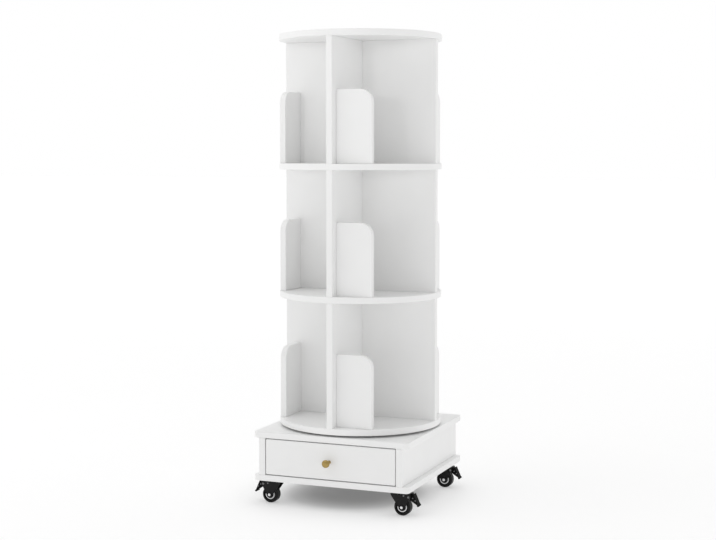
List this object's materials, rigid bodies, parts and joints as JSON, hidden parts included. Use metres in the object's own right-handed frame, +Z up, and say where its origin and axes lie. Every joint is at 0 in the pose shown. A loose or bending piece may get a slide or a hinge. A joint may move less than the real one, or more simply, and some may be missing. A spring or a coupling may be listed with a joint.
{
  "type": "revolving bookcase",
  "caption": "Free-standing bookcase of round open tiers on a turntable, above a square base with a pull-out drawer and braked swivel casters.",
  "frame": {"origin": "on the floor, under the axis that the round shelves turn about", "axes": "+Z up along the turning axis, -Y towards the side that the drawer opens to, +X to the right of someone facing the drawer"},
  "size_m": [0.4268, 0.428, 1.1431],
  "materials": {
    "white_board": "painted satin",
    "dowel_wood": "plain",
    "hardboard": "white faced",
    "runner_wood": "planed hardwood",
    "aluminium_ring": "plain",
    "zinc_screw": "zinc plated",
    "bearing_ball": "polished",
    "cage_plastic": "moulded",
    "black_steel": "black",
    "wheel_rubber": "matte",
    "brass": "satin"
  },
  "bodies": {
    "base": {"base_bottom_plate": "white_board", "base_top_plate": "white_board", "base_side_left": "white_board", "base_side_right": "white_board", "base_back": "white_board", "base_dowels": "dowel_wood", "drawer_runner_left": "runner_wood", "drawer_runner_right": "runner_wood", "runner_screws": "zinc_screw", "turntable_outer_ring": "aluminium_ring", "outer_ring_screws": "zinc_screw", "caster_plate_front_left": "black_steel", "caster_plate_front_right": "black_steel", "caster_plate_rear_left": "black_steel", "caster_plate_rear_right": "black_steel", "caster_screws": "zinc_screw"},
    "ball_row": {"ball_cage": "cage_plastic", "turntable_balls": "bearing_ball"},
    "carousel": {"turntable_inner_ring": "aluminium_ring", "inner_ring_screws": "zinc_screw", "shelf_bottom": "white_board", "shelf_lower": "white_board", "shelf_upper": "white_board", "shelf_top": "white_board", "divider_lower": "white_board", "half_divider_lower_front": "white_board", "half_divider_lower_back": "white_board", "divider_middle": "white_board", "half_divider_middle_front": "white_board", "half_divider_middle_back": "white_board", "divider_upper": "white_board", "half_divider_upper_front": "white_board", "half_divider_upper_back": "white_board", "book_stops_lower": "white_board", "book_stops_middle": "white_board", "book_stops_upper": "white_board", "divider_dowels": "dowel_wood", "book_stop_dowels": "dowel_wood"},
    "drawer": {"drawer_front": "white_board", "drawer_side_left": "white_board", "drawer_side_right": "white_board", "drawer_back": "white_board", "drawer_bottom": "hardboard", "drawer_dowels": "dowel_wood", "drawer_knob": "brass", "knob_screw": "zinc_screw"},
    "fork_front_left": {"caster_fork_front_left": "black_steel"},
    "wheel_front_left": {"caster_wheel_front_left": "wheel_rubber"},
    "pedal_front_left": {"brake_pedal_front_left": "black_steel"},
    "fork_front_right": {"caster_fork_front_right": "black_steel"},
    "wheel_front_right": {"caster_wheel_front_right": "wheel_rubber"},
    "pedal_front_right": {"brake_pedal_front_right": "black_steel"},
    "fork_rear_left": {"caster_fork_rear_left": "black_steel"},
    "wheel_rear_left": {"caster_wheel_rear_left": "wheel_rubber"},
    "pedal_rear_left": {"brake_pedal_rear_left": "black_steel"},
    "fork_rear_right": {"caster_fork_rear_right": "black_steel"},
    "wheel_rear_right": {"caster_wheel_rear_right": "wheel_rubber"},
    "pedal_rear_right": {"brake_pedal_rear_right": "black_steel"}
  },
  "joints": [
    {"name": "carousel_turn", "type": "hinge", "parent": "base", "child": "carousel", "pos_m": [0, 0, 0.1861], "axis": [0, 0, 1], "continuous": true},
    {"name": "ball_row_turn", "type": "hinge", "parent": "base", "child": "ball_row", "pos_m": [0, 0, 0.1861], "axis": [0, 0, 1], "continuous": true},
    {"name": "drawer_slide", "type": "slide", "parent": "base", "child": "drawer", "axis": [0, -1, 0], "range_m": [0, 0.25]},
    {"name": "swivel_front_left", "type": "hinge", "parent": "base", "child": "fork_front_left", "pos_m": [-0.168, -0.156, 0.061], "axis": [0, 0, 1], "continuous": true},
    {"name": "roll_front_left", "type": "hinge", "parent": "fork_front_left", "child": "wheel_front_left", "pos_m": [-0.172, -0.156, 0.0205], "axis": [0, 1, 0], "continuous": true},
    {"name": "brake_front_left", "type": "hinge", "parent": "fork_front_left", "child": "pedal_front_left", "pos_m": [-0.18888, -0.156, 0.0465], "axis": [0, -1, 0], "range_deg": [0, 15]},
    {"name": "swivel_front_right", "type": "hinge", "parent": "base", "child": "fork_front_right", "pos_m": [0.168, -0.156, 0.061], "axis": [0, 0, 1], "continuous": true},
    {"name": "roll_front_right", "type": "hinge", "parent": "fork_front_right", "child": "wheel_front_right", "pos_m": [0.172, -0.156, 0.0205], "axis": [0, 1, 0], "continuous": true},
    {"name": "brake_front_right", "type": "hinge", "parent": "fork_front_right", "child": "pedal_front_right", "pos_m": [0.18888, -0.156, 0.0465], "axis": [0, 1, 0], "range_deg": [0, 15]},
    {"name": "swivel_rear_left", "type": "hinge", "parent": "base", "child": "fork_rear_left", "pos_m": [-0.168, 0.156, 0.061], "axis": [0, 0, 1], "continuous": true},
    {"name": "roll_rear_left", "type": "hinge", "parent": "fork_rear_left", "child": "wheel_rear_left", "pos_m": [-0.172, 0.156, 0.0205], "axis": [0, 1, 0], "continuous": true},
    {"name": "brake_rear_left", "type": "hinge", "parent": "fork_rear_left", "child": "pedal_rear_left", "pos_m": [-0.18888, 0.156, 0.0465], "axis": [0, -1, 0], "range_deg": [0, 15]},
    {"name": "swivel_rear_right", "type": "hinge", "parent": "base", "child": "fork_rear_right", "pos_m": [0.168, 0.156, 0.061], "axis": [0, 0, 1], "continuous": true},
    {"name": "roll_rear_right", "type": "hinge", "parent": "fork_rear_right", "child": "wheel_rear_right", "pos_m": [0.172, 0.156, 0.0205], "axis": [0, 1, 0], "continuous": true},
    {"name": "brake_rear_right", "type": "hinge", "parent": "fork_rear_right", "child": "pedal_rear_right", "pos_m": [0.18888, 0.156, 0.0465], "axis": [0, 1, 0], "range_deg": [0, 15]}
  ],
  "couplings": [
    {"joint": "ball_row_turn", "follows": "carousel_turn", "ratio": 0.5}
  ]
}
